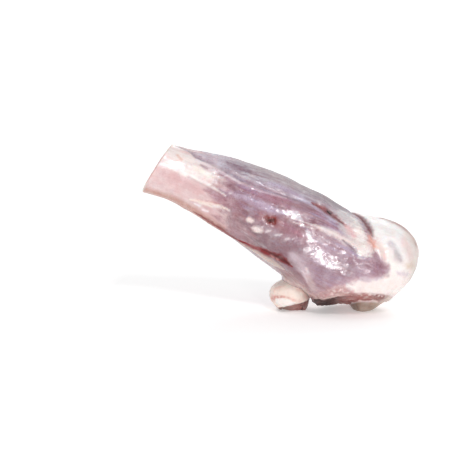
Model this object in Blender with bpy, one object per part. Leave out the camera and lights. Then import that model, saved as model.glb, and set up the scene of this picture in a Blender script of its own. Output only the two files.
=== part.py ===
"""A raw lamb shank standing on its sawn knee end: flesh round the leg bone, with marrow in the bone.

Run it with blender --background --python part.py. Metres, +Z up. The leg dips along +X from its sawn hock
end, which is up in the air at the left, to its heavy knee end, and its shown side faces -Y.
"""

import math

import bmesh
import bpy
import numpy as np
from mathutils import Matrix, Vector, noise

# The sizes below are millimetres and degrees.
MM = 0.001
LEG_LENGTH = 201.5  # hock saw cut to the tip of the fat heel
LEG_DIP = 24.0  # how steeply the leg's axis falls from the hock end
HOCK_HEIGHT = 104.7  # the axis at the hock saw cut, over the table
DOME_START = 165.0  # where the heel starts to round off
DOME_POWER = 2.5  # 2 would make the heel a plain ellipse
HEEL_CROWDING = 1.5  # 1 would space the rows of the mesh evenly, more brings them together at the heel

# Along the leg's axis: reach above it, reach below it, half depth, and where the section is widest.
LEG_SECTIONS = (
    (-14.0, 21.0, 22.5, 19.0, -0.5),
    (0.0, 20.5, 19.8, 17.5, 0.0),
    (14.6, 21.9, 18.2, 16.0, 1.0),
    (28.5, 25.4, 19.1, 17.0, 2.5),
    (43.0, 28.4, 20.8, 19.5, 3.5),
    (73.0, 31.8, 25.2, 24.5, 1.0),
    (89.0, 32.2, 28.6, 27.5, -2.0),
    (105.0, 31.6, 32.4, 30.0, -5.0),
    (121.0, 31.0, 36.2, 32.5, -8.5),
    (141.0, 29.2, 41.5, 34.0, -11.0),
    (152.0, 30.2, 44.0, 34.0, -10.0),
    (166.0, 33.6, 44.5, 34.0, -6.0),
    (180.0, 35.8, 38.5, 33.5, 0.0),
    (191.0, 36.8, 30.0, 32.0, 4.5),
    (201.5, 37.0, 20.0, 30.0, 6.5),
)

# Folds between muscles and the swells of muscle: height, half width, then (along, angle) points. The angle
# goes round the section from its top over the shown side at 90 to its underside at 180.
RELIEF = (
    ("upper seam", -1.6, 4.5, ((24, 38), (36, 51), (54, 57), (83, 51), (112, 37), (138, 42), (150, 50))),
    ("heel fold", -2.6, 5.0, ((136, -30), (142, -2), (150, 16), (161, 46), (167, 62), (176, 84))),
    ("round muscle", 3.0, 17.0, ((70, 114), (98, 108), (130, 108), (166, 102))),
    ("sinew", 1.0, 3.5, ((111, 71), (126, 64), (140, 64), (148, 69), (155, 75))),
    ("hock hollow", -1.6, 11.0, ((-10, 100), (14, 100), (34, 104), (48, 108))),
    ("shin seam", -1.4, 4.0, ((40, 128), (72, 130), (98, 134), (116, 142))),
    ("back seam", -2.2, 5.5, ((30, -70), (70, -84), (110, -92), (150, -96))),
    ("back swell", 2.2, 16.0, ((60, -120), (100, -128), (140, -126), (168, -120))),
    ("back ridge", 1.8, 13.0, ((50, -44), (90, -50), (130, -52))),
)
RELIEF_FADE = 14.0  # length over which a fold or swell dies out at each end
UNEVENNESS = 0.8
UNEVEN_SCALE = 24.0

# The knee end is sawn flat, and rises towards the shown side from this line in its depth.
KNEE_FLAT_HEIGHT = 2.2
KNEE_RISE_FROM = 8.0
KNEE_RISE = 20.0
SAWN_LUMPS = 0.7
SAWN_LUMP_SCALE = 9.0
SAWN_LUMP_DEPTH = 4.0  # how far under the leg's surface the saw is where the lumps are whole
HOCK_SAW_AT = -0.8
HOCK_SAW_LEAN = 8.2  # the hock saw cut leans off square
HOCK_SAW_YAW = 5.5  # and is turned this much from the shown side

# A lump of fat under the knee end, which the shank stands on: centre, half sizes, and its drawn-out tail.
FAT_LUMP_CENTRE = (149.5, 4.0, 6.0)
FAT_LUMP_HALF = (8.5, 16.0, 9.0)
FAT_LUMP_TAIL = 2.1
FAT_LUMP_LIFT = 0.25  # how steeply the tail rises

# The gristle that closes in round the neck of the bone, over its knob: centre and half sizes.
COLLAR_CENTRE = (105.5, -1.5, 25.0)
COLLAR_HALF = (15.5, 16.5, 9.5)

# The leg bone, from beyond the hock saw cut to under the table: x, z, dip, half width, half depth.
BONE_SECTIONS = (
    (-9.9, 108.0, 34.0, 9.6, 8.6),
    (12.5, 92.7, 33.0, 8.6, 8.0),
    (32.2, 80.3, 33.0, 7.6, 7.2),
    (54.1, 65.0, 34.0, 7.5, 7.4),
    (75.0, 50.5, 40.0, 8.2, 8.4),
    (89.5, 39.5, 52.0, 7.8, 8.8),
    (97.0, 30.5, 64.0, 6.8, 8.6),
    (99.0, 25.0, 76.0, 7.4, 9.6),
    (98.0, 20.8, 84.0, 11.4, 12.0),
    (96.9, 17.2, 88.0, 14.6, 13.6),
    (96.4, 12.5, 90.0, 15.4, 14.2),
    (96.3, 7.0, 90.0, 14.2, 14.2),
    (96.3, 2.5, 90.0, 11.8, 13.0),
    (96.3, -1.5, 90.0, 8.6, 11.0),
    (96.3, -6.0, 90.0, 5.0, 8.0),
)
BONE_WALL = 2.6
KNOB_BEVEL_POINT = (86.0, -14.0, 4.2)
KNOB_BEVEL_NORMAL = (0.30, -0.66, -1.0)
MARROW_RECESS = 0.5
GAP = 0.3  # kept between solids

FLESH_ROWS, FLESH_COLUMNS = 62, 54
BONE_ROWS, BONE_COLUMNS = 30, 20
MARROW_COLUMNS = 14
LUMP_COLUMNS, LUMP_ROWS = 20, 14
SAME_POINT = 0.01  # points of a mesh this near each other are one
ON_PLANE = 0.001  # a point this near a saw's plane lies on it
CREASE_ANGLE = 40.0  # edges sharper than this stay crisp

FLESH_COLOUR, FLESH_ROUGHNESS = (0.50, 0.27, 0.31, 1.0), 0.35
BONE_COLOUR, BONE_ROUGHNESS = (0.83, 0.68, 0.58, 1.0), 0.4
MARROW_COLOUR, MARROW_ROUGHNESS = (0.62, 0.26, 0.24, 1.0), 0.5


def smooth_through(rows, at):
    """The other columns of rows at the value `at` of the first column, on a smooth curve through them."""
    rows = np.asarray(rows, float)
    knots, values = rows[:, 0], rows[:, 1:]
    slopes = np.gradient(values, knots, axis=0)
    last = len(knots) - 2
    i = int(np.clip(np.searchsorted(knots, at) - 1, 0, last))
    span = knots[i + 1] - knots[i]
    t = min(max((at - knots[i]) / span, 0.0), 1.0)
    start, end = values[i], values[i + 1]
    lead, trail = slopes[i] * span, slopes[i + 1] * span
    return (
        start * (1 + 2 * t) * (1 - t) ** 2
        + lead * t * (1 - t) ** 2
        + end * t * t * (3 - 2 * t)
        + trail * t * t * (t - 1)
    )


def fade(value, width):
    """0 at or below 0, 1 at or above width, smooth between."""
    t = min(max(value / width, 0.0), 1.0)
    return t * t * (3 - 2 * t)


def leg_point(along, side, rise):
    """The point of a place measured along the leg's axis, across it in depth and up from it."""
    dip = math.radians(LEG_DIP)
    return Vector((
        along * math.cos(dip) + rise * math.sin(dip),
        side,
        HOCK_HEIGHT - along * math.sin(dip) + rise * math.cos(dip),
    ))


def relief_at(along, angle, radius):
    """How far the flesh stands out, or in, at a place on the leg."""
    height = 0.0
    for _, rise, half_width, line in RELIEF:
        start, end = line[0][0], line[-1][0]
        ends = fade(along - start + RELIEF_FADE, RELIEF_FADE) * fade(end + RELIEF_FADE - along, RELIEF_FADE)
        if ends == 0.0:
            continue
        middle = smooth_through(line, along)[0]
        away = math.radians((angle - middle + 180) % 360 - 180) * radius / half_width
        height += rise * ends * math.exp(-away * away)
    return height


def flesh_point(row, column):
    """A point of the flesh's surface, rows from the hock end to the heel's tip, columns round the leg."""
    start = LEG_SECTIONS[0][0]
    along = start + (LEG_LENGTH - start) * (1 - (1 - row) ** HEEL_CROWDING)
    above, below, depth, widest = smooth_through(LEG_SECTIONS, along)
    into_dome = min(max((along - DOME_START) / (LEG_LENGTH - DOME_START), 0.0), 1.0)
    dome = (1 - into_dome**DOME_POWER) ** (1 / DOME_POWER)
    turn = math.tau * column
    reach = above - widest if math.cos(turn) > 0 else below + widest
    up, front = reach * math.cos(turn), depth * math.sin(turn)
    out = relief_at(along, math.degrees(turn), (reach + depth) / 2)
    place = leg_point(along, 0.0, 0.0) / UNEVEN_SCALE + Vector((0.0, front, up)) / UNEVEN_SCALE
    out += UNEVENNESS * noise.noise(place)
    swell = 1 + out / max(math.hypot(up, front), 1.0)
    return leg_point(along, -front * swell * dome, widest + up * swell * dome)


def bone_point(row, column, grow=0.0):
    """A point of the leg bone's surface, grown outwards by `grow`."""
    steps = [(i, *section) for i, section in enumerate(BONE_SECTIONS)]
    at = row * (len(steps) - 1)
    x, z, dip, half_width, half_depth = smooth_through(steps, at)
    across = Vector((math.sin(math.radians(dip)), 0.0, math.cos(math.radians(dip))))
    turn = math.tau * column
    return (
        Vector((x, 0.0, z))
        + across * (half_width + grow) * math.cos(turn)
        + Vector((0.0, 1.0, 0.0)) * (half_depth + grow) * math.sin(turn)
    )


def rolled(rows, columns, place):
    """A grid rolled up into a tube, each of its points put where place(row, column) says, from 0 to 1."""
    bm = bmesh.new()
    bmesh.ops.create_grid(bm, x_segments=columns, y_segments=rows, size=0.5)
    for vert in bm.verts:
        vert.co = place(vert.co.y + 0.5, vert.co.x + 0.5) * MM
    bmesh.ops.remove_doubles(bm, verts=bm.verts[:], dist=SAME_POINT * MM)
    return bm


def close_ends(bm):
    """Fills the open ends and turns every face outwards."""
    bmesh.ops.holes_fill(bm, edges=[edge for edge in bm.edges if edge.is_boundary], sides=0)
    bmesh.ops.recalc_face_normals(bm, faces=bm.faces[:])


def saw(bm, point, normal):
    """Cuts away what lies beyond a plane and leaves a flat face there."""
    geometry = bm.verts[:] + bm.edges[:] + bm.faces[:]
    bmesh.ops.bisect_plane(
        bm, geom=geometry, dist=ON_PLANE * MM, plane_co=point, plane_no=normal, clear_outer=True
    )
    close_ends(bm)


def hock_plane(inwards=0.0):
    """A point and the outward normal of the hock saw cut, moved into the leg by `inwards`."""
    lean, yaw = math.radians(HOCK_SAW_LEAN), math.radians(HOCK_SAW_YAW)
    middle = leg_point(HOCK_SAW_AT, 0.0, 0.0)
    ahead = leg_point(HOCK_SAW_AT - math.cos(lean), math.tan(yaw), math.sin(lean))
    normal = (ahead - middle).normalized()
    return (middle - normal * inwards) * MM, normal


def knee_height(place):
    """The height of the sawn face at a place under it, in millimetres, with the lumps of its cut muscles."""
    height = KNEE_FLAT_HEIGHT + max(KNEE_RISE_FROM - place.y, 0.0) * math.tan(math.radians(KNEE_RISE))
    lumps = 1 + noise.noise(Vector((place.x, place.y, 0.0)) / SAWN_LUMP_SCALE)
    return height + SAWN_LUMPS * lumps * fade(height - place.z, SAWN_LUMP_DEPTH)


def saw_knee(bm):
    """Presses the underside of the knee end up to the height of its sawn face."""
    slope = math.radians(KNEE_RISE)
    edge = Vector((0.0, KNEE_RISE_FROM, KNEE_FLAT_HEIGHT)) * MM
    for normal in (Vector((0.0, -math.sin(slope), -math.cos(slope))), Vector((0.0, 0.0, -1.0))):
        geometry = bm.verts[:] + bm.edges[:] + bm.faces[:]
        bmesh.ops.bisect_plane(bm, geom=geometry, dist=ON_PLANE * MM, plane_co=edge, plane_no=normal)
    for vert in bm.verts:
        vert.co.z = max(vert.co.z, knee_height(vert.co / MM) * MM)


def material(name, colour, roughness):
    """A finish with one colour."""
    made = bpy.data.materials.new(name)
    made.use_nodes = True
    shader = made.node_tree.nodes["Principled BSDF"]
    shader.inputs["Base Color"].default_value = colour
    shader.inputs["Roughness"].default_value = roughness
    shader.inputs["Metallic"].default_value = 0.0
    return made


def put(name, bm, finish=None):
    """Makes an object of a body. Without a finish it is only a cutter or a shape to join, and isn't shown."""
    mesh = bpy.data.meshes.new(name)
    bm.to_mesh(mesh)
    bm.free()
    obj = bpy.data.objects.new(name, mesh)
    bpy.context.scene.collection.objects.link(obj)
    if finish:
        mesh.materials.append(finish)
        mesh.shade_smooth()
        mesh.set_sharp_from_angle(angle=math.radians(CREASE_ANGLE))
    else:
        obj.hide_render = True
        obj.display_type = "WIRE"
    return obj


def combine(obj, other, operation):
    """Adds a Boolean, with the exact solver."""
    modifier = obj.modifiers.new(other.name, "BOOLEAN")
    modifier.operation = operation
    modifier.object = other


def lump(centre, half, tail=1.0, lift=0.0):
    """A round lump, drawn out along +X by tail and raised along it by lift."""
    bm = bmesh.new()
    bmesh.ops.create_uvsphere(bm, u_segments=LUMP_COLUMNS, v_segments=LUMP_ROWS, radius=1.0)
    for vert in bm.verts:
        x, y, z = (way * size for way, size in zip(vert.co, half))
        ahead = max(x, 0.0) * tail
        vert.co = (Vector(centre) + Vector((min(x, 0.0) + ahead, y, z + ahead * lift))) * MM
    return bm


def fat_lump():
    """The drooping lump of fat under the knee end, flat where it stands on the table."""
    bm = lump(FAT_LUMP_CENTRE, FAT_LUMP_HALF, FAT_LUMP_TAIL, FAT_LUMP_LIFT)
    saw(bm, Vector((0.0, 0.0, 0.0)), Vector((0.0, 0.0, -1.0)))
    return put("fat_lump_shape", bm)


def bone_body(grow, columns, inwards):
    """The bone's outer form, grown or shrunk, cut by both saws and flat on the table."""
    bm = rolled(BONE_ROWS, columns, lambda row, column: bone_point(row, column, grow))
    close_ends(bm)
    saw(bm, *hock_plane(inwards))
    bevel = Vector(KNOB_BEVEL_NORMAL).normalized()
    saw(bm, (Vector(KNOB_BEVEL_POINT) - bevel * inwards) * MM, bevel)
    saw(bm, Vector((0.0, 0.0, inwards)) * MM, Vector((0.0, 0.0, -1.0)))
    return bm


def bone_channel(grow, columns, name):
    """A cutter along the bone, longer than it at both ends."""
    bm = rolled(BONE_ROWS, columns, lambda row, column: bone_point(row, column, grow))
    close_ends(bm)
    return put(name, bm)


def flesh():
    """Muscle, sinew and fat in one piece, with the channel that the bone lies in."""
    bm = rolled(FLESH_ROWS, FLESH_COLUMNS, flesh_point)
    close_ends(bm)
    saw(bm, *hock_plane())
    saw_knee(bm)
    bmesh.ops.recalc_face_normals(bm, faces=bm.faces[:])
    obj = put("flesh", bm, material("flesh", FLESH_COLOUR, FLESH_ROUGHNESS))
    combine(obj, fat_lump(), "UNION")
    combine(obj, put("collar_shape", lump(COLLAR_CENTRE, COLLAR_HALF)), "UNION")
    combine(obj, bone_channel(GAP, BONE_COLUMNS, "bone_channel"), "DIFFERENCE")
    return obj


def bone():
    """The leg bone, a shaft that swells into the knob at the knee, hollow for its marrow."""
    obj = put("bone", bone_body(0.0, BONE_COLUMNS, 0.0), material("bone", BONE_COLOUR, BONE_ROUGHNESS))
    combine(obj, bone_channel(-BONE_WALL, MARROW_COLUMNS, "marrow_channel"), "DIFFERENCE")
    return obj


def marrow():
    """The marrow, which shows at both sawn ends of the bone, a little sunk."""
    body = bone_body(-BONE_WALL - GAP, MARROW_COLUMNS, MARROW_RECESS)
    return put("marrow", body, material("marrow", MARROW_COLOUR, MARROW_ROUGHNESS))


def stand(pieces):
    """Moves everything so that the middle of the shank's footprint is over the origin."""
    bpy.context.view_layer.update()
    graph = bpy.context.evaluated_depsgraph_get()
    corners = np.array([
        piece.matrix_world @ Vector(corner)
        for piece in pieces
        for corner in piece.evaluated_get(graph).bound_box
    ])
    middle = (corners.min(axis=0) + corners.max(axis=0)) / 2
    place = Matrix.Translation((-middle[0], -middle[1], 0.0))
    for obj in bpy.data.objects:
        obj.data.transform(place)


def main():
    for obj in list(bpy.data.objects):
        bpy.data.objects.remove(obj)
    stand([flesh(), bone(), marrow()])


main()
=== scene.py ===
"""The looks of a raw lamb shank: wet muscle under thin silvery skin, white fat, sinew and bare bone.

Metres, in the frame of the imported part: +X from the raised hock end to the heavy knee end, +Z up.
The shown side faces -Y.
"""

import math

import bmesh
import bpy
import numpy as np
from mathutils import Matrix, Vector, noise


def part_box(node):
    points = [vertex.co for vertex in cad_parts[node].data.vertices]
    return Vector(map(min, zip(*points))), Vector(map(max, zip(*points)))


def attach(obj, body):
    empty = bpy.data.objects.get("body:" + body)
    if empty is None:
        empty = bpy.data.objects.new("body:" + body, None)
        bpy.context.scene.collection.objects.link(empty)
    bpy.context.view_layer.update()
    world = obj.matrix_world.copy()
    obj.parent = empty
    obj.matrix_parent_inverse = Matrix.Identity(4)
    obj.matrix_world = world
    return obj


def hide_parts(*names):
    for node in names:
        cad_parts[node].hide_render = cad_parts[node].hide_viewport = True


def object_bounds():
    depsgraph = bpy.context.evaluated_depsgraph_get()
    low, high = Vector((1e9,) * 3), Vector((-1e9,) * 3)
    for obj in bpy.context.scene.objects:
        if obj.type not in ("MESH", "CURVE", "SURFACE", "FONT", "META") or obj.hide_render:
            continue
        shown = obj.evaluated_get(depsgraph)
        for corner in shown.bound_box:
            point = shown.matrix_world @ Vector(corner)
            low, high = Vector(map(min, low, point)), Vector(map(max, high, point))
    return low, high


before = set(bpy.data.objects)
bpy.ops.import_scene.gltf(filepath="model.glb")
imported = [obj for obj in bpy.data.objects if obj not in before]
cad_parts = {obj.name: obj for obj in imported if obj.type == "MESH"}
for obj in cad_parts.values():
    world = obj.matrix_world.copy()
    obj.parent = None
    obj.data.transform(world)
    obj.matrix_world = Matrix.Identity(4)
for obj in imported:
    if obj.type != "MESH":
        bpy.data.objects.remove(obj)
CAD_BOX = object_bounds()
MM = 0.001

# The leg's axis: its dip, and where it starts at the sawn hock end.
LEG_DIP = math.radians(24.0)
AXIS_FROM_LEFT = 12.1 * MM
AXIS_HEIGHT = 104.7 * MM
BONE_LOW, BONE_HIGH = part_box("bone")
AXIS_START = np.array([CAD_BOX[0][0] + AXIS_FROM_LEFT, (BONE_LOW[1] + BONE_HIGH[1]) / 2, AXIS_HEIGHT])

# The saws: the hock cut's lean and turn, and the knee cut's height and rise towards the shown side.
HOCK_LEAN, HOCK_YAW = math.radians(8.2), math.radians(5.5)
HOCK_AT = -0.8
KNEE_HEIGHT, KNEE_RISE_FROM, KNEE_RISE = 2.2, 8.0, math.radians(20.0)

# The sawn knee face along X: its left end, the middle and length of its sag, and its lump's left end.
KNEE_FACE_LEFT = 21
KNEE_SAG_AT, KNEE_SAG_LENGTH = 29, 8
LUMP_LEFT = 35

# The white rim of the hock cut starts at this distance from the axis.
HOCK_RIM = 17

FLESH_VOXEL = 0.85 * MM
BONE_VOXEL = 0.55 * MM
MARROW_VOXEL = 0.6 * MM

# The photograph's view, and the floor that curves up into a wall behind the shank.
LENS, FILM_WIDTH = 100.0, 36.0
VIEW_ELEVATION = math.radians(8.0)
VIEW_DISTANCE = 0.9333
VIEW_TARGET = Vector((-0.0369, 0.0, 0.0597))
FLOOR_SIZE = 6.0
WALL_FROM = 2.0


def srgb(text):
    """The linear colour of a hex code, as an array."""
    values = np.array([int(text[i:i + 2], 16) / 255 for i in (1, 3, 5)])
    return np.where(values <= 0.04045, values / 12.92, ((values + 0.055) / 1.055) ** 2.4)


def smooth(value, low, high):
    """0 where value is at low, 1 where it is at high, smooth between."""
    t = np.clip((value - low) / (high - low), 0.0, 1.0)
    return t * t * (3 - 2 * t)


def turned(angle, other):
    """How many degrees angle is past other, from -180 to 180."""
    return (angle - other + 180) % 360 - 180


def refined(name, node, voxel, passes):
    """A fine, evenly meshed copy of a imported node."""
    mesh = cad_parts[node].data.copy()
    bm = bmesh.new()
    bm.from_mesh(mesh)
    bmesh.ops.remove_doubles(bm, verts=bm.verts[:], dist=0.02 * MM)
    bm.to_mesh(mesh)
    bm.free()
    mesh.materials.clear()
    rough = bpy.data.objects.new(name + "_rough", mesh)
    bpy.context.scene.collection.objects.link(rough)
    remesh = rough.modifiers.new("remesh", "REMESH")
    remesh.mode = "VOXEL"
    remesh.voxel_size = voxel
    remesh.use_smooth_shade = True
    soften = rough.modifiers.new("soften", "SMOOTH")
    soften.factor = 0.5
    soften.iterations = passes
    bpy.context.view_layer.update()
    graph = bpy.context.evaluated_depsgraph_get()
    fine = bpy.data.meshes.new_from_object(rough.evaluated_get(graph))
    fine.name = name
    piece = bpy.data.objects.new(name, fine)
    bpy.context.scene.collection.objects.link(piece)
    bpy.data.objects.remove(rough)
    return piece


class Skin:
    """The points of a piece, where each lies along the leg and round it, and how it is coloured so far.

    Along is in mm from the hock saw cut. Round is in degrees: 0 on top, 90 on the shown side and 180
    underneath.
    """

    def __init__(self, piece, colour, gloss, grain):
        self.mesh = piece.data
        count = len(self.mesh.vertices)
        self.points = np.empty(count * 3)
        self.mesh.vertices.foreach_get("co", self.points)
        self.points = self.points.reshape(-1, 3)
        self.colour = np.tile(srgb(colour), (count, 1))
        self.gloss = np.full(count, gloss)
        self.grain = np.full(count, grain)
        self.measure()

    def measure(self):
        """Works out the normals, and the places along the leg and round it."""
        self.normals = np.empty(len(self.mesh.vertices) * 3)
        self.mesh.vertex_normals.foreach_get("vector", self.normals)
        self.normals = self.normals.reshape(-1, 3)
        x, y, z = (self.points - AXIS_START).T / MM
        self.along = x * math.cos(LEG_DIP) - z * math.sin(LEG_DIP)
        rise = x * math.sin(LEG_DIP) + z * math.cos(LEG_DIP)
        self.round = np.degrees(np.arctan2(-y, rise))
        self.radius = np.hypot(y, rise)

    def noise(self, size, stretch=1.0, octaves=3, seed=0.0):
        """Soft noise from about -1 to 1, of a size in mm, drawn out along the leg by stretch."""
        x, y, z = (self.points - AXIS_START).T / MM
        rise = x * math.sin(LEG_DIP) + z * math.cos(LEG_DIP)
        places = np.stack([self.along / stretch, y, rise], axis=1) / size + seed
        return np.array([noise.fractal(Vector(place), 0.9, 2.0, octaves) for place in places])

    def move(self, heights):
        """Moves the points out along their normals, by heights in mm."""
        self.points += self.normals * (heights * MM)[:, None]
        self.settle()

    def settle(self):
        """Stores the moved points on the mesh and measures them again."""
        self.mesh.vertices.foreach_set("co", self.points.ravel())
        self.mesh.update()
        self.measure()

    def off_line(self, line):
        """How far each point is from a line of (along, round, half width) points, in half widths."""
        nearest = np.full(len(self.along), np.inf)
        scale = np.radians(self.radius)
        for (a, r, w), (b, s, v) in zip(line[:-1], line[1:]):
            run, swing = b - a, turned(s, r) * scale
            ahead, aside = self.along - a, turned(self.round, r) * scale
            t = np.clip((ahead * run + aside * swing) / (run * run + swing * swing + 1e-9), 0.0, 1.0)
            gap = np.hypot(ahead - t * run, aside - t * swing) / (w + t * (v - w))
            nearest = np.minimum(nearest, gap)
        return nearest

    def line(self, line, wobble=0.0):
        """1 on a line, fading smoothly to 0 outside its half width."""
        return np.exp(-np.square(self.off_line(line) + wobble).clip(0, 30))

    def stripe(self, line, wobble=0.0, edge=0.35):
        """1 inside a line's half width, with a narrow edge."""
        return 1 - smooth(self.off_line(line) + wobble, 1 - edge, 1 + edge)

    def patch(self, outline, edge, wobble=0.0):
        """1 inside a closed outline of (along, round) points, with an edge of that many mm."""
        middle = outline[0][1]
        scale = np.radians(self.radius)
        aside = turned(self.round, middle)
        inside = np.zeros(len(self.along), bool)
        gap = np.full(len(self.along), np.inf)
        for (a, r), (b, s) in zip(outline, outline[1:] + outline[:1]):
            r, s = turned(r, middle), turned(s, middle)
            crosses = (r > aside) != (s > aside)
            with np.errstate(divide="ignore", invalid="ignore"):
                inside ^= crosses & (self.along < a + (aside - r) * (b - a) / (s - r))
            run, swing = b - a, (s - r) * scale
            ahead, away = self.along - a, (aside - r) * scale
            t = np.clip((ahead * run + away * swing) / (run * run + swing * swing + 1e-9), 0.0, 1.0)
            gap = np.minimum(gap, np.hypot(ahead - t * run, away - t * swing))
        depth = np.where(inside, gap, -gap)
        return smooth(depth + wobble, -edge, edge)

    def past(self, border, edge, wobble=0.0):
        """1 beyond a border of (round, along) points round the leg, with an edge of that many mm."""
        border = sorted(border)
        limit = np.interp(self.round, *zip(*border), period=360)
        return smooth(self.along - limit + wobble, -edge, edge)

    def round_from(self, low, high, edge):
        """1 where the place round the leg is from low to high degrees, with an edge in degrees."""
        middle, half = (low + high) / 2, (high - low) / 2
        return 1 - smooth(np.abs(turned(self.round, middle)), half - edge, half + edge)

    def paint(self, colour, mask, gloss=None, grain=None):
        """Lays a colour over the piece where mask says, and sets its gloss and grain there."""
        mask = np.clip(mask, 0.0, 1.0)
        self.colour += (srgb(colour) - self.colour) * mask[:, None]
        if gloss is not None:
            self.gloss += (gloss - self.gloss) * mask
        if grain is not None:
            self.grain += (grain - self.grain) * mask

    def stroke(self, colour, weight, line, wobble=0.0, gloss=None, grain=None):
        """Paints softly along a line, as strongly as weight says."""
        self.paint(colour, self.line(line, wobble) * weight, gloss, grain)

    def darken(self, colour, mask):
        """Darkens the piece by a colour, multiplying its colours by it where mask says."""
        self.colour *= 1 + (srgb(colour) - 1) * np.clip(mask, 0.0, 1.0)[:, None]

    def keep(self):
        """Stores the colours, gloss and grain on the mesh for its material."""
        colour = self.mesh.attributes.new("tint", "FLOAT_COLOR", "POINT")
        rows = np.hstack([np.clip(self.colour, 0.0, 1.0), np.ones((len(self.colour), 1))])
        colour.data.foreach_set("color", rows.ravel())
        for name, values in (("gloss", self.gloss), ("grain", self.grain)):
            layer = self.mesh.attributes.new(name, "FLOAT", "POINT")
            layer.data.foreach_set("value", values)


class Sum:
    """Shader arithmetic: a socket or a number, with + - * written as in ordinary code."""

    tree = None

    def __init__(self, source):
        self.source = source

    @classmethod
    def node(cls, kind, inputs=(), output=0, **settings):
        """Makes a shader node, feeds its inputs and gives one of its outputs."""
        made = cls.tree.nodes.new(kind)
        for key, value in settings.items():
            setattr(made, key, value)
        for key, value in dict(inputs).items():
            source = value.source if isinstance(value, Sum) else value
            if isinstance(source, bpy.types.NodeSocket):
                cls.tree.links.new(source, made.inputs[key])
            else:
                made.inputs[key].default_value = source
        return Sum(made.outputs[output])

    def maths(self, operation, other):
        return Sum.node("ShaderNodeMath", {0: self, 1: other}, operation=operation)

    def __add__(self, other):
        return self.maths("ADD", other)

    def __sub__(self, other):
        return self.maths("SUBTRACT", other)

    def __mul__(self, other):
        return self.maths("MULTIPLY", other)

    def between(self, low, high, to_low=0.0, to_high=1.0):
        """Maps low..high to to_low..to_high, kept inside them."""
        inputs = {0: self, 1: low, 2: high, 3: to_low, 4: to_high}
        return Sum.node("ShaderNodeMapRange", inputs, clamp=True)

    def towards(self, colour, factor, blend="MIX"):
        """This colour mixed towards another one."""
        inputs = {0: factor, 6: self, 7: colour}
        return Sum.node("ShaderNodeMix", inputs, output=2, data_type="RGBA", blend_type=blend)


def noise_at(place, scale, detail=3.0, roughness=0.55):
    """A noise texture, 0 to 1."""
    inputs = {"Vector": place, "Scale": scale, "Detail": detail, "Roughness": roughness}
    return Sum.node("ShaderNodeTexNoise", inputs)


def leg_place(stretch):
    """Object coordinates turned along the leg and drawn out along it by stretch."""
    place = Sum.node("ShaderNodeTexCoord", output=3)
    level = Sum.node("ShaderNodeMapping", {0: place, 2: (0.0, -LEG_DIP, 0.0)})
    return Sum.node("ShaderNodeMapping", {0: level, 3: (1 / stretch, 1.0, 1.0)})


def rgba(text):
    return (*srgb(text), 1.0)


def wet(name, depth, blush, scatter, fibre=1.0):
    """The look of a moist piece: its own colours with fibres, mottling and a wet, uneven gloss."""
    finish = bpy.data.materials.new(name)
    finish.use_nodes = True
    tree = finish.node_tree
    Sum.tree = tree
    shader = tree.nodes["Principled BSDF"]
    shader.inputs["IOR"].default_value = 1.5
    shader.inputs["Coat Roughness"].default_value = 0.17
    shader.inputs["Coat IOR"].default_value = 1.5
    shader.inputs["Subsurface Weight"].default_value = scatter
    shader.inputs["Subsurface Radius"].default_value = (1.0, 0.36, 0.26)
    shader.inputs["Subsurface Scale"].default_value = depth
    tint = Sum.node("ShaderNodeAttribute", attribute_name="tint")
    gloss = Sum.node("ShaderNodeAttribute", output=2, attribute_name="gloss")
    grain = Sum.node("ShaderNodeAttribute", output=2, attribute_name="grain")
    plain = Sum.node("ShaderNodeTexCoord", output=3)
    fibres = noise_at(leg_place(14.0), 900.0, detail=2.5)
    strands = noise_at(leg_place(9.0), 340.0, detail=2.0)
    mottle = noise_at(plain, 150.0, detail=4.0)
    specks = noise_at(plain, 1100.0, detail=2.0)
    threads = (fibres.between(0.35, 0.7) + strands.between(0.35, 0.65)) * 0.5
    colour = tint.towards(tint.towards(rgba(blush), 1.0, "MULTIPLY"), threads * grain * (0.75 * fibre))
    lighter = tint.towards((1.0, 1.0, 1.0, 1.0), 0.25)
    colour = colour.towards(lighter, mottle.between(0.48, 0.72) * 0.5)
    dots = specks.between(0.52, 0.72) * grain.between(0.1, 0.6, 0.1, 0.5)
    colour = colour.towards(colour.towards(rgba(blush), 1.0, "MULTIPLY"), dots)
    tree.links.new(colour.source, shader.inputs["Base Color"])
    uneven = mottle.between(0.35, 0.7, -0.08, 0.12) + specks.between(0.35, 0.65, -0.1, 0.06)
    tree.links.new((gloss + uneven).between(0.05, 1.0, 0.05, 1.0).source, shader.inputs["Roughness"])
    tree.links.new(gloss.between(0.12, 0.4, 1.0, 0.05).source, shader.inputs["Coat Weight"])
    ridges = fibres * grain * (0.5 * fibre) + strands * grain * (0.6 * fibre)
    pores = noise_at(plain, 420.0, detail=4.0, roughness=0.6)
    height = ridges + pores * grain.between(0.0, 0.7, 0.1, 0.5) + specks * 0.4
    bump = Sum.node("ShaderNodeBump", {"Height": height, "Strength": 0.85, "Distance": 0.5 * MM})
    tree.links.new(bump.source, shader.inputs["Normal"])
    return finish


def hock_depth(skin):
    """How far each point is inside the hock saw cut, in mm."""
    along = np.array([math.cos(LEG_DIP), 0.0, -math.sin(LEG_DIP)])
    rise = np.array([math.sin(LEG_DIP), 0.0, math.cos(LEG_DIP)])
    normal = -along * math.cos(HOCK_LEAN) + rise * math.sin(HOCK_LEAN)
    normal = normal + np.array([0.0, math.tan(HOCK_YAW), 0.0])
    normal /= np.linalg.norm(normal)
    middle = AXIS_START / MM + along * HOCK_AT
    return -(skin.points / MM - middle) @ normal


def knee_depth(skin):
    """How far each point is above the plane of the knee saw cut, in mm."""
    y = (skin.points[:, 1] - AXIS_START[1]) / MM
    plane = KNEE_HEIGHT + np.maximum(KNEE_RISE_FROM - y, 0.0) * math.tan(KNEE_RISE)
    return skin.points[:, 2] / MM - plane


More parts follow.
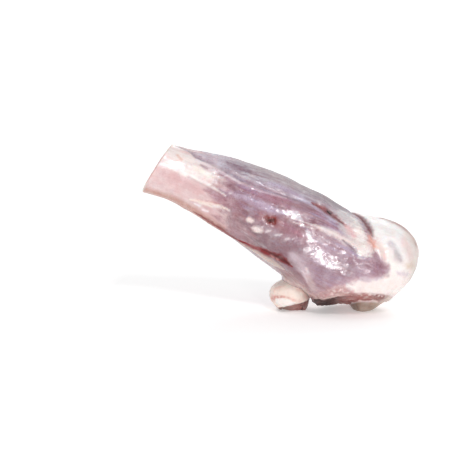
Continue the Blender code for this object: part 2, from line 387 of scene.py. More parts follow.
# Lines on the flesh, as (along, round, half width), measured on the shown side.
SEAM = [(6, 6, 0.8), (15, 12, 1.0), (22, 22, 1.2), (34, 30, 1.2), (46, 37, 1.2), (55, 42, 1.1),
        (68, 45, 1.0), (83, 44, 1.0), (98, 39, 1.0), (112, 36, 1.0)]
SEAM_LIP = [(23, 26, 1.0), (34, 34, 1.4), (48, 42, 1.5), (58, 47, 1.3), (74, 48, 1.1), (92, 44, 0.7)]
ROSE = [[(58, 56, 1.4), (70, 57, 1.9), (82, 57, 2.2), (94, 58.5, 2.0), (106, 61, 1.3)],
        [(50, 47, 1.0), (62, 48, 1.4), (80, 48, 1.5), (96, 46, 1.0)],
        [(116, 50, 1.0), (126, 56, 2.0), (134, 62, 1.4)],
        [(96, 82, 1.2), (106, 86, 1.8), (114, 88, 1.2)]]
LAVENDER = [[(48, 70, 1.4), (61, 70, 2.2), (75, 71, 2.6), (86, 71, 2.4), (96, 68, 1.4)],
            [(76, 33, 1.0), (88, 32.5, 1.7), (101, 33.5, 1.9), (110, 37, 1.5), (116, 43, 1.2),
             (130, 49, 1.6)]]
SLIT = [(110.5, 33.5, 0.5), (115, 34.5, 1.7), (119, 35.5, 2.3), (123, 37, 2.6), (126, 38.5, 2.0),
        (130, 41, 1.6), (134, 43.5, 1.5), (138.5, 46.5, 0.9)]
SLIT_HOLE = [(123.6, 35.4, 1.2), (126, 37, 1.2)]
HOLE = [(84.6, 85, 1.4), (87, 88, 2.3), (89.2, 84, 2.4), (90.6, 87, 1.8)]
HOLE_DARK = [(86.2, 88, 1.0), (88.6, 87, 1.2), (89.8, 84, 0.9)]
GASH = [(74, 148, 1.0), (84, 142, 1.6), (92, 137, 2.6), (96, 134, 3.3), (101, 130, 3.8),
        (105, 126.5, 3.6), (108, 125.5, 2.7), (111, 125.5, 1.7), (115, 126.5, 0.7)]
GASH_DARK = [(92, 136, 0.7), (97, 132, 1.4), (101, 129, 2.2), (105, 126, 2.6), (108, 126, 1.9),
             (113, 126, 0.8)]
GASH_BEADS = [[(99.5, 134, 0.9), (100.5, 134, 0.9)], [(103.4, 131, 0.8), (104.4, 131, 0.8)]]
UNDER_TENDON = [(76, 153, 1.2), (86, 148, 1.9), (91, 147, 2.3), (96, 147, 2.8), (101, 146, 3.0),
                (106, 144, 2.6), (111, 142, 1.3)]
CREAM_STRIPE = [(30, 127, 0.8), (36, 121, 1.5), (45, 113, 1.9), (52, 105, 1.4), (57, 102, 0.7)]
RED_BAND = [(36, 156, 0.6), (43, 154, 1.5), (50, 153, 2.6), (60, 152, 2.6), (70, 150, 2.0),
            (78, 147, 1.3)]
# Wet, glossy patches where the lamps glint; they are also painted paler, as painted highlights.
WET_HIGHLIGHTS = [[(97, 66, 3.0), (104, 65, 4.4), (111, 66, 3.0)], [(116, 81, 2.6), (119, 86, 2.6)],
       [(124, 95, 3.4), (131, 101, 4.2), (139, 106, 3.6)]]
# Small pale dots, painted as painted glints.
GLINTS = [(84, 100, 0.5), (88, 103, 0.8), (90, 100.5, 0.5), (95.5, 102, 0.7), (98, 99, 0.5),
          (103, 100.5, 0.8), (107, 97, 0.5), (47, 112, 0.7), (50, 109, 0.8), (54.5, 109, 0.6),
          (57, 104, 0.7), (39.8, 62, 0.7), (41, 56, 0.6), (51.5, 45, 0.8), (54.5, 45, 0.6),
          (49, 78, 0.6), (54, 72, 0.6)]
# Pale patches painted where the wet muscle shows its highlights: painted highlights.
PAINTED_HIGHLIGHTS = [[(98.8, 63.5, 1.0), (102, 65, 1.9), (106, 68, 1.7), (108.6, 70, 0.8)],
            [(114.4, 80, 0.9), (116.8, 85, 1.3), (118.2, 87.5, 0.8)]]
SPOTS = [[(73.4, 99, 1.7), (75.6, 99, 1.7)], [(80.6, 107, 2.3), (83.4, 105, 2.3)]]
TENDON = [(112, 72, 0.5), (118, 70, 1.2), (125, 69, 1.9), (132, 68.5, 2.4), (140, 70, 2.7),
          (147, 73, 2.6)]
TENDON_THREADS = [[(100, 72, 0.4), (108, 71, 0.5), (118, 69, 0.4)],
                  [(103, 76, 0.4), (111, 75.5, 0.6), (119, 74, 0.4)]]
SHEEN = [(56, 32, 0.5), (60, 31, 0.8), (65, 32, 0.7), (69, 34, 0.4)]
TENDON_UNDER = [(140, 72, 0.5), (145, 74.5, 1.2), (149, 77, 1.6), (152, 79, 1.0)]
FOLD = [(138, -24, 0.6), (142, -8, 0.8), (145.5, 0, 1.0), (149.5, 12, 1.2), (152, 21, 1.5),
        (154.5, 31, 2.0), (157, 38, 2.0), (159.3, 45, 0.9)]
FOLD_ON = [(159, 44, 0.8), (161, 56, 1.3), (164, 67, 0.9)]
ORANGE = [(158, 50, 1.6), (160.5, 56, 2.9), (162.5, 61, 2.0)]
FAT_STRIP = [(138, 156, 1.6), (142, 146, 2.4), (146, 137, 3.0), (150, 129, 3.4), (155, 123, 3.2),
             (160, 121, 2.2)]
HEEL_RIM = [(163, 2, 2.0), (172, 7, 3.4), (180, 10, 4.2), (188, 14, 3.6), (193, 22, 2.4)]
KNEE_LIP = [(116, 164, 3.0), (125, 155, 3.0), (131, 153, 3.0), (136, 165, 3.2)]
WHITE_BAND = [(0, 72, 1.4), (6, 66, 2.0), (12, 63, 2.0), (20, 66, 1.9), (28, 69, 1.6), (36, 72, 1.4),
              (43, 75, 1.0), (52, 79, 0.5)]
# Thin raised ribbons at the hock, painted near white as painted glints.
GLINT_RIBBONS = [[(33.5, 41, 0.7), (37.8, 43, 0.8), (38.2, 47, 0.6)],
           [(37, 58, 0.7), (40, 59, 0.8), (42.5, 63, 0.9)], [(38, 50, 0.6), (42, 49, 0.7)],
           [(34, 133, 0.7), (38, 131, 0.9)], [(41, 135, 0.8), (45, 132, 0.7)]]

# Lines on the hidden side: the seams between its muscles and the sinews that run down from the hock.
BACK_SEAMS = [[(12, -66, 0.8), (40, -74, 1.4), (70, -84, 1.6), (110, -92, 1.5), (146, -95, 1.0)],
              [(20, -24, 0.8), (56, -30, 1.2), (92, -33, 1.2), (128, -34, 1.0)],
              [(26, -128, 0.8), (60, -146, 1.4), (96, -158, 1.3), (122, -166, 0.9)]]
BACK_SINEWS = [[(4, -50, 2.4), (26, -52, 2.0), (46, -54, 1.2), (66, -58, 0.5)],
               [(4, -98, 2.6), (24, -100, 2.2), (44, -104, 1.3), (70, -112, 0.5)],
               [(150, -64, 1.8), (134, -62, 1.4), (112, -66, 0.6)],
               [(152, -128, 2.0), (136, -132, 1.4), (118, -134, 0.5)]]

# Where the pink and the cream of the hock end, and where the heel's fat begins, as (round, along).
PINK_END = [(-180, 66), (-60, 40), (0, 16), (30, 34), (60, 52), (90, 62), (120, 82), (150, 84)]
CREAM_END = [(-180, 52), (-128, 30), (-110, 38), (-66, 22), (-50, 34), (-24, 14), (4, 12), (14, 16),
             (22, 22), (28, 30), (34, 38), (48, 40), (58, 46), (72, 44), (88, 44), (98, 48), (107, 53),
             (120, 56), (150, 60)]
HEEL = [(-180, 148), (-158, 138), (-138, 156), (-118, 160), (-95, 146), (-74, 159), (-52, 155),
        (-33, 142), (-18, 143), (0, 146), (20, 151), (35, 156), (50, 160), (66, 164), (72, 170),
        (77, 176), (83, 179), (91, 178.5), (97, 175), (103, 167.5), (108, 161.5), (116, 156),
        (125, 151), (145, 147)]

# The knob's dark underside, raw tissue darkened as painted shade, lies below a line, given as its
# height at the middle and its slope along X.
KNOB_EDGE = (3.9, 0.24)

# How far the knob's underside is raised or lowered, in mm, as (X, height) points.
KNOB_SAG = [(-8, 2.2), (-1, 1.7), (3, 0.7), (7, -0.4), (14, -1.2), (20, -2.7)]
KNOB_SAG_FADE = (3.0, 9.0)

# The white cartilage on the knob: its middle, as (X, height), its half sizes and its slope along X.
CARTILAGE_AT = (3.5, 7.6)
CARTILAGE_SIZE = (7.6, 3.6)
CARTILAGE_SLOPE = 0.16

# The knob bulges a little here, as (X, height), over this distance.
SHOULDER_AT = (-4, 24)
SHOULDER_SIZE = 5

# The sheet of sinew before the heel, as an outline of (along, round) points.
SHEET = [(128, 33), (131, 25), (137, 20), (142, 24), (147, 36), (153, 47), (158, 58), (163, 67),
         (162, 76), (156, 81), (151, 76), (146, 70), (141, 64), (136, 57), (131, 46)]


def flesh_relief(skin):
    """Folds, cuts, tendons, fat and fibres, as shape."""
    broad = skin.noise(9.0, 1.3, 3, 3.1)
    fine = skin.noise(3.0, 1.6, 3, 7.7)
    ragged = skin.noise(2.0, 1.0, 3, 9.2)
    sawn = np.maximum(1 - smooth(hock_depth(skin), 0.2, 1.4), 1 - smooth(knee_depth(skin), 0.2, 2.0))
    slick = np.max([skin.line(line) for line in WET_HIGHLIGHTS], axis=0)
    height = 0.3 * broad * (1 - 0.5 * slick) + 0.14 * fine * (1 - sawn) * (1 - 0.85 * slick)
    height -= 0.8 * skin.line(SEAM) - 0.3 * skin.line(SEAM_LIP)
    height -= 0.6 * skin.line(FOLD) + 0.5 * skin.line(FOLD_ON)
    height -= 0.7 * skin.line(SLIT, 0.15 * ragged) + 1.0 * skin.line(SLIT_HOLE)
    height -= 1.3 * skin.line(HOLE, 0.25 * ragged) - 0.9 * skin.line(HOLE) * smooth(ragged, 0.1, 0.5)
    height -= 0.5 * skin.line(GASH, 0.2 * ragged)
    for bead in GASH_BEADS:
        height += 1.1 * skin.line(bead)
    height += 0.8 * skin.line(UNDER_TENDON) + 0.45 * skin.line(CREAM_STRIPE)
    for spot in SPOTS:
        height += 0.4 * skin.line(spot)
    height += 0.45 * skin.line(TENDON) - 0.5 * skin.line(TENDON_UNDER)
    height += (0.9 + 0.8 * fine) * skin.line(FAT_STRIP)
    height += 0.3 * skin.line(WHITE_BAND) + 0.4 * skin.patch(SHEET, 2.0, fine)
    for glint_ribbon in GLINT_RIBBONS:
        height += 0.35 * skin.line(glint_ribbon)
    for seam in BACK_SEAMS:
        height -= 1.0 * skin.line(seam, 0.15 * ragged)
    for sinew in BACK_SINEWS:
        height += 0.6 * skin.line(sinew)
    cut = knee_face(skin)
    sag = np.exp(-np.square((skin.points[:, 0] / MM - KNEE_SAG_AT) / KNEE_SAG_LENGTH))
    height += cut * (0.7 * skin.noise(3.5, 1.0, 3, 21.0) + 0.35 * ragged + 1.6 * sag)
    skin.move(height)
    skin.points[:, 2] = np.maximum(skin.points[:, 2], 0.0)
    skin.settle()


def knee_face(skin):
    """1 on the sawn face of the knee end."""
    depth = knee_depth(skin)
    flat = 1 - smooth(np.abs(depth), 1.2, 2.6)
    right_end = skin.points[:, 0] / MM > KNEE_FACE_LEFT
    return flat * smooth(-skin.normals[:, 2], 0.3, 0.65) * right_end


def hock_face(skin):
    """1 on the sawn face of the hock end."""
    return 1 - smooth(hock_depth(skin), 0.3, 1.2)


def muscle_colours(skin, streak, thin, cloud, broad):
    """Mauve muscle under silvery skin, with rose and lavender streaks."""
    belly = skin.round_from(84, 150, 14) * smooth(skin.along, 68, 100)
    skin.grain -= 0.45 * belly
    skin.paint("#a98593", smooth(streak, -0.1, 0.5) * (0.8 - 0.4 * belly))
    skin.paint("#b9accb", smooth(thin + 0.5 * broad, 0.0, 0.6) * (0.75 - 0.35 * belly), gloss=0.2)
    skin.paint("#ad7c84", smooth(-streak - 0.3 * broad, 0.1, 0.6) * (0.7 - 0.35 * belly))
    skin.paint("#b598a8", belly * smooth(cloud, -0.2, 0.5) * 0.6)
    skin.paint("#9c6c70", skin.round_from(118, 175, 16) * smooth(cloud, -0.3, 0.5) * 0.6)
    for line in ROSE:
        skin.stroke("#c491ac", 0.4, line, 0.6 * streak)

    middle = smooth(skin.along + 11 * streak + 4 * cloud, 43, 61) * (1 - smooth(skin.along, 112, 136))
    skin.darken("#ebd7d6", middle * skin.round_from(58, 98, 8))
    skin.darken("#d6cac8", middle * skin.round_from(98, 160, 8))
    skin.darken("#c6bdc2", skin.line([(62, 113, 7), (82, 121, 7)]))
    skin.darken("#dccad3", skin.line([(42, 65, 6), (54, 68, 6)]))
    duller = smooth(skin.along, 40, 52) * (1 - smooth(skin.along, 88, 98))
    skin.gloss += 0.2 * skin.round_from(40, 84, 8) * duller
    skin.darken("#ddd0d2", skin.line([(136, 110, 6), (152, 99, 6)]))
    skin.gloss += 0.1 * skin.round_from(62, 128, 8) * smooth(skin.along, 92, 102)
    sides = skin.round_from(44, 126, 8) + skin.round_from(-140, -60, 10)
    sparkle = smooth(skin.noise(1.7, 1.6, 2, 61.0), 0.15, 0.4) * sides
    skin.gloss += (0.14 - skin.gloss) * sparkle * smooth(skin.along, 36, 50) * 0.9
    for line in WET_HIGHLIGHTS:
        wet_highlight = skin.line(line, 0.3 * streak + 0.3 * thin)
        skin.gloss += (0.11 - skin.gloss) * wet_highlight
        skin.grain -= 0.95 * skin.grain * wet_highlight
        # Painted highlight: the wet patches are painted a paler mauve.
        skin.paint("#d3c5d2", wet_highlight * 0.3)

    silver = skin.round_from(-12, 40, 6) * smooth(skin.along, 7, 17)
    skin.paint("#bcb5bf", silver * (0.75 + 0.2 * streak), gloss=0.22, grain=0.6)
    skin.paint("#b6adb0", skin.round_from(-16, 22, 9) * smooth(skin.along, 44, 66) * 0.7, grain=0.5)
    skin.paint("#958593", silver * smooth(thin, 0.1, 0.6) * 0.45)
    # Painted glints: pale blue-grey streaks on the silvery skin.
    pale = smooth(-thin, 0.1, 0.5) * skin.round_from(18, 40, 6)
    skin.paint("#d4d6de", silver * pale * 0.55, gloss=0.16)
    skin.stroke("#dedae6", 0.8 * skin.round_from(-10, 34, 8), [(18, 14, 8), (36, 18, 9)])
    skin.stroke("#8a6c80", 0.75, [(44, 21, 2.0), (52, 24, 3.4), (60, 27, 2.4)], 0.5 * cloud)
    skin.stroke("#c8c0c4", 0.5, [(76, 14, 5.0), (98, 14, 5.0)], 0.4 * streak)
    skin.darken("#e4e0e2", skin.line([(114, 13, 4.0), (134, 13, 4.0)]))
    for line in LAVENDER:
        skin.stroke("#cbc0da", 0.65, line, 0.7 * streak + 0.4 * thin)
    skin.stroke("#e9edf4", 0.8, SHEEN, 0.5 * thin, gloss=0.14)
    ridge = skin.round_from(-64, 20, 10)
    skin.darken("#e6e1e4", ridge * smooth(skin.along, 40, 80))
    skin.gloss += (0.45 - skin.gloss) * ridge


def hock_colours(skin, streak, cloud, ragged):
    """Cream sinew and pink fat round the hock end, with a white band."""
    near = 1 - skin.past(PINK_END, 14, 6 * cloud + 11 * streak)
    skin.paint("#cda6ad", near * 0.6)
    hock = 1 - skin.past(CREAM_END, 7.5, 4 * cloud + 9 * streak)
    skin.paint("#e3c9c8", hock * 0.95, gloss=0.3, grain=0.25)
    skin.paint("#dcb1b2", hock * smooth(cloud, -0.15, 0.6) * skin.round_from(80, 150, 12) * 0.6)
    skin.paint("#c08c7c", hock * skin.round_from(141, 205, 9) * 0.85)
    skin.paint("#f8efec", hock * skin.round_from(-40, 62, 8) * 0.8)
    pink = smooth(cloud + 0.5 * streak, 0.0, 0.5)
    skin.paint("#e9c6c4", hock * pink * skin.round_from(-30, 60, 8) * 0.55)
    skin.stroke("#d8a9aa", 0.5, [(12, 84, 2.0), (22, 90, 3.0), (32, 92, 2.2)], 0.6 * cloud)
    skin.stroke("#dfb9a6", 0.8, [(9, 36, 1.0), (13, 41, 0.9)], 0.3 * ragged)
    skin.stroke("#a97f93", 0.75, [(27, 37, 1.0), (31, 40, 1.6), (36, 43, 1.0)], 0.3 * ragged)
    skin.stroke("#f6efe6", 0.8, [(24, 49, 1.8), (31, 52, 2.6), (37, 56, 1.8)], 0.3 * ragged, gloss=0.16)
    skin.stroke("#b48694", 0.6, [(44, 88, 2.2), (52, 90, 3.2), (60, 92, 3.0)], 0.4 * cloud)
    band = skin.stripe(WHITE_BAND, 0.7 * ragged + 0.6 * streak, 0.9)
    skin.paint("#fffaf7", band * 0.88, gloss=0.2, grain=0.1)
    skin.stroke("#bb8f92", 0.5, [(22, 72, 0.7), (38, 77, 1.0), (50, 80, 0.7)], 0.3 * ragged)
    skin.stroke("#75607a", 0.6 * smooth(-skin.along, -110, -60), SEAM, 0.2 * ragged)
    lip = skin.line(SEAM_LIP, 0.7 * ragged + 0.5 * streak) * (1 - 0.5 * smooth(skin.along, 45, 80))
    skin.paint("#f4e8ee", lip * 0.85, gloss=0.18)
    # Painted glints: the raised ribbons are painted near white.
    for glint_ribbon in GLINT_RIBBONS:
        skin.stroke("#fbf1f3", 0.95, glint_ribbon, 0.2 * ragged, gloss=0.12)
    skin.stroke("#c98c8c", 0.7, [(34, 120, 0.7), (42, 109, 1.0), (50, 101, 0.7)], 0.3 * ragged)
    skin.paint("#f6e6dc", skin.stripe(CREAM_STRIPE, 0.3 * ragged) * 0.9, gloss=0.2)
    skin.paint("#8c413f", skin.stripe(RED_BAND, 0.5 * ragged + 0.3 * streak, 0.8) * 0.95, gloss=0.7)


def wound_colours(skin, streak, thin, cloud, ragged):
    """The slit, the little bloody hole, and the gash with the tendon under it."""
    for spot in SPOTS:
        skin.paint("#fff5f0", skin.stripe(spot, 0.4 * ragged, 0.6) * 0.92)
    # A paler band under the row of glints: painted sheen.
    skin.stroke("#c3adb6", 0.4, [(78, 100, 2.0), (90, 101, 2.2), (106, 98, 1.4)], 0.8 * ragged + thin)
    # Painted glints: small pale dots.
    for place in GLINTS:
        dot = skin.line([place, (place[0] + 2 * place[2], place[1] - 2, place[2])], 0.8 * ragged)
        skin.paint("#f4eaee", dot * 0.7, gloss=0.12)
    # Painted highlights: pale patches on the wet muscle.
    for line in PAINTED_HIGHLIGHTS:
        skin.paint("#efedf4", skin.stripe(line, 0.6 * ragged + 0.3 * thin, 0.7) * 0.72, gloss=0.12)
    skin.stroke("#d9c9d1", 0.75, [(112, 112, 3.0), (119, 117, 5.0), (126, 124, 4.0)], 0.6 * cloud)
    # A pale streak near the knee end: a painted glint.
    skin.stroke("#f0dfe3", 0.7, [(123, 124, 0.8), (127, 129, 1.8), (130, 134, 1.2)], 0.6 * ragged)
    skin.stroke("#b39795", 0.6, [(90, 158, 2.4), (104, 158, 3.6), (118, 156, 3.6)], 0.3 * streak)
    skin.stroke("#c6a9ad", 0.55, [(106, 150, 3.0), (118, 146, 5.0), (126, 148, 4.0)], 0.4 * ragged)
    skin.paint("#d3c3b9", skin.stripe(UNDER_TENDON, 0.25 * ragged, 0.5) * 0.95, gloss=0.22)
    skin.paint("#8e1d22", skin.stripe(GASH, 0.3 * ragged, 0.5) * 0.95, gloss=0.8, grain=0.3)
    # The gash's dark red core: blood, made darker as painted shade of its depth.
    skin.stroke("#58060c", 1.0, GASH_DARK, 0.3 * ragged, gloss=0.8)
    for bead in GASH_BEADS:
        skin.stroke("#c77a74", 1.0, bead, gloss=0.1)
    skin.paint("#97494f", skin.stripe(SLIT, 0.2 * ragged, 0.6) * 0.92, gloss=0.3)
    # Painted shade: the small pit in the slit is painted near black.
    skin.stroke("#170404", 1.0, SLIT_HOLE, 0.2 * ragged, gloss=0.8)
    skin.stroke("#b98588", 0.6, [(80, 87, 2.4), (93, 86, 3.0)], 0.4 * ragged)
    skin.paint("#8c2622", skin.stripe(HOLE, 0.35 * ragged, 0.5), gloss=0.2)
    skin.stroke("#46080a", 1.0, HOLE_DARK, 0.3 * ragged, gloss=0.6)


def sheet_colours(skin, streak, ragged):
    """The cream sheet of sinew before the heel, and the sinew that runs into it."""
    sheet = skin.patch(SHEET, 2.4, 1.4 * ragged + 1.8 * streak)
    skin.paint("#ddd8d9", sheet * 0.85, gloss=0.24, grain=0.35)
    skin.paint("#faf4ef", sheet * smooth(skin.along + 3 * ragged, 137, 150) * 0.95)
    tendon = skin.stripe(TENDON, 0.4 * ragged, 0.9) * smooth(skin.along, 110, 122)
    skin.paint("#f2e3e1", tendon, gloss=0.18, grain=0.3)
    for thread in TENDON_THREADS:
        skin.stroke("#fbf2f3", 0.85, thread, 0.7 * ragged, gloss=0.14)
    slit_end = skin.stripe(SLIT, 0.25 * ragged, 0.7) * smooth(skin.along, 125, 129)
    skin.paint("#83434b", slit_end * 0.9, gloss=0.4)
    skin.stroke("#7f5a6c", 0.85, TENDON_UNDER, 0.3 * ragged)
    skin.stroke("#efbcbf", 0.75, [(139, 48, 1.6), (143, 53, 3.0), (147, 59, 2.2)], 0.5 * ragged)
    # Painted shade: a grey-lavender band along the top, left of the fold.
    skin.stroke("#b09fb4", 0.75, [(138, -4, 4.0), (146, 14, 4.5), (151, 30, 3.0)], 0.3 * ragged)


def heel_colours(skin, streak, cloud, ragged):
    """The white fat of the heel, its stains and its painted light and shade, and the fat strip along
    the sawn face.
    """
    heel = skin.past(HEEL, 3.6, 2.0 * ragged + 1.5 * cloud + 1.2 * streak)
    rim = skin.past([(r, a - 5) for r, a in HEEL], 4.5, 2.0 * ragged + 2.5 * streak)
    skin.paint("#d3b3b8", rim * (1 - heel) * 0.55, grain=0.4)
    skin.paint("#faf2ee", heel * 0.97, gloss=0.3, grain=0.12)
    hidden = heel * skin.round_from(-175, -8, 12)
    skin.paint("#dfbfba", hidden * smooth(skin.noise(10.0, 1.6, 3, 51.0), 0.05, 0.5) * 0.6)
    veins = 1 - smooth(np.abs(skin.noise(15.0, 2.0, 2, 41.0)), 0.0, 0.1)
    skin.paint("#cfa8a6", hidden * veins * 0.35)
    # Painted light: the top of the heel is painted pure white.
    skin.paint("#ffffff", heel * skin.round_from(-20, 62, 10) * 0.7)
    skin.paint("#ecdad6", heel * smooth(cloud, 0.0, 0.6) * 0.35)
    skin.stroke("#a97a74", 0.9 * heel, HEEL_RIM, 0.4 * cloud, gloss=0.6)
    skin.stroke("#f0cfc8", 0.45 * heel, [(164, 56, 3.0), (168, 64, 4.0), (172, 70, 3.0)], 0.7 * ragged)
    skin.stroke("#eacbc8", 0.6 * heel, [(182, 38, 4.0), (190, 50, 4.0)], 0.9 * cloud)
    skin.stroke("#b0a0aa", 0.5 * heel, [(173, 52, 2.2), (178, 58, 3.2), (184, 65, 2.6)], 0.8 * cloud)
    skin.stroke("#93828a", 0.35 * heel, [(178, 58, 1.2), (183, 64, 1.8)], 0.8 * ragged)
    skin.stroke("#c6b6c6", 0.6 * heel, [(186, 82, 1.6), (193, 79, 1.8)], 0.8 * ragged)
    skin.stroke("#d8bf9f", 0.6 * heel, [(191, 66, 2.0), (198, 54, 2.4)], 0.5 * ragged)
    # Painted shade: the far end of the heel is darker and grey-brown.
    shaded_far_end = smooth(skin.points[:, 0] / MM + 2 * cloud, 84, 98)
    skin.paint("#c8b5ac", heel * shaded_far_end * 0.62, gloss=0.45)
    # Painted shade: the lower front of the heel is a little darker.
    skin.paint("#ead8d2", heel * skin.round_from(86, 112, 8) * 0.35)
    skin.gloss += (0.32 - skin.gloss) * (1 - heel) * smooth(skin.along, 148, 156)
    bare = 0.55 * (1 - heel)
    skin.stroke("#986878", bare, [(164, 90, 4.0), (171, 88, 6.0), (174, 87, 6.5)], 0.3 * ragged)
    skin.stroke("#dccfd8", 0.7, [(162, 104, 1.2), (168, 102, 2.0), (175, 97, 1.2)], 0.5 * ragged)
    # The fold's dark red-brown line: raw tissue in the crease, darkened as painted shade.
    skin.paint("#78343f", skin.stripe(FOLD, 0.2 * ragged, 0.8) * 0.92, gloss=0.6)
    skin.stroke("#d8a9a2", 0.5, FOLD_ON, 0.5 * ragged)
    skin.stroke("#f5b4a4", 0.9, ORANGE, 0.4 * ragged)

    lower = smooth(skin.along, 128, 136) * (1 - smooth(knee_depth(skin), 2.0, 8.0))
    skin.paint("#d4afae", lower * skin.round_from(118, 175, 8) * 0.5)
    skin.stroke("#e2cfcd", 0.6, [(126, 124, 1.0), (131, 130, 2.6), (136, 140, 3.0)], 0.5 * ragged)
    skin.stroke("#efe0e2", 0.8, [(124.4, 119, 0.9), (127, 122, 0.9)], gloss=0.14)
    skin.paint("#c79a99", skin.stripe(FAT_STRIP, 0.4 * ragged, 0.6) * 0.9, gloss=0.25)
    skin.stroke("#ecd9d4", 0.8 * smooth(ragged, 0.1, 0.5), FAT_STRIP, gloss=0.14)
    skin.stroke("#c28d8e", 0.6, [(150, 134, 1.0), (156, 127, 1.2)], 0.5 * ragged)
    skin.stroke("#eedcd3", 0.75, KNEE_LIP, 0.3 * ragged)


def back_colours(skin, streak, ragged):
    """Silvery seams and sinews of the hidden side."""
    for seam in BACK_SEAMS:
        beside = [(a, r, 2.6 * w) for a, r, w in seam]
        skin.stroke("#d9ccd2", 0.6, beside, 0.6 * streak, gloss=0.2)
        skin.stroke("#8a6476", 0.7, seam, 0.3 * ragged)
    for sinew in BACK_SINEWS:
        skin.stroke("#efe3de", 0.9, sinew, 0.4 * ragged + 0.3 * streak, gloss=0.2, grain=0.3)


def sawn_colours(skin, cloud, ragged):
    """The sawn faces of the knee and hock ends, and the lump of fat under the knee."""
    x, z = skin.points[:, 0] / MM, skin.points[:, 2] / MM
    sawn = knee_face(skin)
    skin.paint("#a96a65", sawn * 0.97, gloss=0.6, grain=0.0)
    skin.paint("#7c3e3e", sawn * smooth(cloud, 0.0, 0.5) * 0.7)
    seams = 1 - smooth(np.abs(skin.noise(11.0, 1.0, 2, 31.0)), 0.02, 0.07)
    skin.paint("#dccbc2", sawn * seams * smooth(x, 40, 52) * 0.6)
    # Painted shade: the left of the knee's sawn face is painted near black.
    skin.paint("#1d0706", sawn * (1 - smooth(x + 3 * cloud, 34, 52)) * 0.9, gloss=0.85)
    skin.darken("#d2cecf", sawn * smooth(x, 62, 76))
    skin.paint("#e9dcd3", sawn * smooth(skin.along, 184, 190) * 0.7)
    lip = smooth(z - 0.2 * (x - 22) + 0.5 * ragged, 11.2, 12.4)
    skin.paint("#d2b2ad", sawn * lip * (1 - smooth(x, 40, 54)) * 0.95, gloss=0.3)

    lump = (1 - smooth(knee_depth(skin), -1.6, -0.4)) * (x > LUMP_LEFT)
    skin.paint("#ab9585", lump, gloss=0.4, grain=0.0)
    skin.paint("#8c6f60", lump * smooth(cloud, 0.0, 0.6) * 0.6)
    skin.paint("#765a4e", lump * (1 - smooth(x, 53, 60)) * 0.6)

    end = hock_face(skin)
    skin.paint("#dcb8b4", end, gloss=0.34, grain=0.0)
    core = smooth(-skin.radius, -HOCK_RIM, 3 - HOCK_RIM)
    skin.paint("#a55a58", end * core * smooth(cloud + 0.4 * ragged, 0.05, 0.35) * 0.8)
    skin.paint("#f2e7e0", end * smooth(skin.radius, HOCK_RIM, HOCK_RIM + 2))


def flesh_colours(skin):
    """The colours of muscle, silvery skin, sinew, fat and blood."""
    broad = skin.noise(16.0, 2.2, 3, 1.3)
    streak = skin.noise(3.4, 11.0, 3, 5.5)
    thin = skin.noise(1.6, 16.0, 2, 8.5)
    cloud = skin.noise(7.0, 1.5, 4, 12.4)
    ragged = skin.noise(2.2, 1.2, 3, 15.0)
    muscle_colours(skin, streak, thin, cloud, broad)
    hock_colours(skin, streak, cloud, ragged)
    wound_colours(skin, streak, thin, cloud, ragged)
    sheet_colours(skin, streak, ragged)
    back_colours(skin, streak, ragged)
    heel_colours(skin, streak, cloud, ragged)
    sawn_colours(skin, cloud, ragged)
    skin.keep()


def flesh():
    """Muscle, skin, fat and sinew in one piece."""
    piece = refined("flesh_surface", "flesh", FLESH_VOXEL, 5)
    skin = Skin(piece, "#ad8f9d", 0.25, 0.8)
    flesh_relief(skin)
    flesh_colours(skin)
    piece.data.materials.append(wet("wet_flesh", 2.2 * MM, "#b9848c", 0.35))
    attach(piece, "root")
    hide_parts("flesh")


def sag_knob(skin):
    """Rounds the underside of the knob."""
    x, z = skin.points[:, 0] / MM, skin.points[:, 2] / MM
    sag = np.interp(x, *zip(*KNOB_SAG)) * (1 - smooth(z, *KNOB_SAG_FADE))
    skin.points[:, 2] = np.maximum(skin.points[:, 2] + sag * MM, 0.0)
    skin.settle()


def knob_colours(skin, ragged):
    """White cartilage at the front of the knob, a pink line round it, and the raw red underside
    darkened as painted shade.
    """
    x, y, z = skin.points.T / MM
    front = smooth(-y, 2.0, 6.0)
    ahead, up = x - CARTILAGE_AT[0], z - CARTILAGE_AT[1]
    off = np.hypot(ahead / CARTILAGE_SIZE[0], (up + CARTILAGE_SLOPE * ahead) / CARTILAGE_SIZE[1])
    arc = front * np.exp(-np.square((off - 1.25 + 0.1 * ragged) / 0.28)) * smooth(z, 6.0, 11.0)
    skin.paint("#c9685d", arc * (0.3 + 0.5 * smooth(ragged - 0.05 * x, -0.5, 0.4)))
    skin.paint("#fbf1ec", front * (1 - smooth(off + 0.05 * ragged, 0.9, 1.05)), gloss=0.16)
    skin.paint("#c9aca4", smooth(x, 14, 19) * smooth(z, 8, 12) * 0.7)
    edge = KNOB_EDGE[0] + KNOB_EDGE[1] * x
    # Painted shade: below the edge line the underside is dark red-brown, raw tissue in shade.
    under = (1 - smooth(z - edge + 0.25 * ragged, -0.2, 0.3)) * smooth(x, -3, 0)
    skin.paint("#85504a", under, gloss=0.4)
    skin.paint("#57332f", under * smooth(ragged, -0.1, 0.4) * 0.6)
    skin.paint("#6f4b42", under * (1 - smooth(x, 4, 12)) * 0.7)


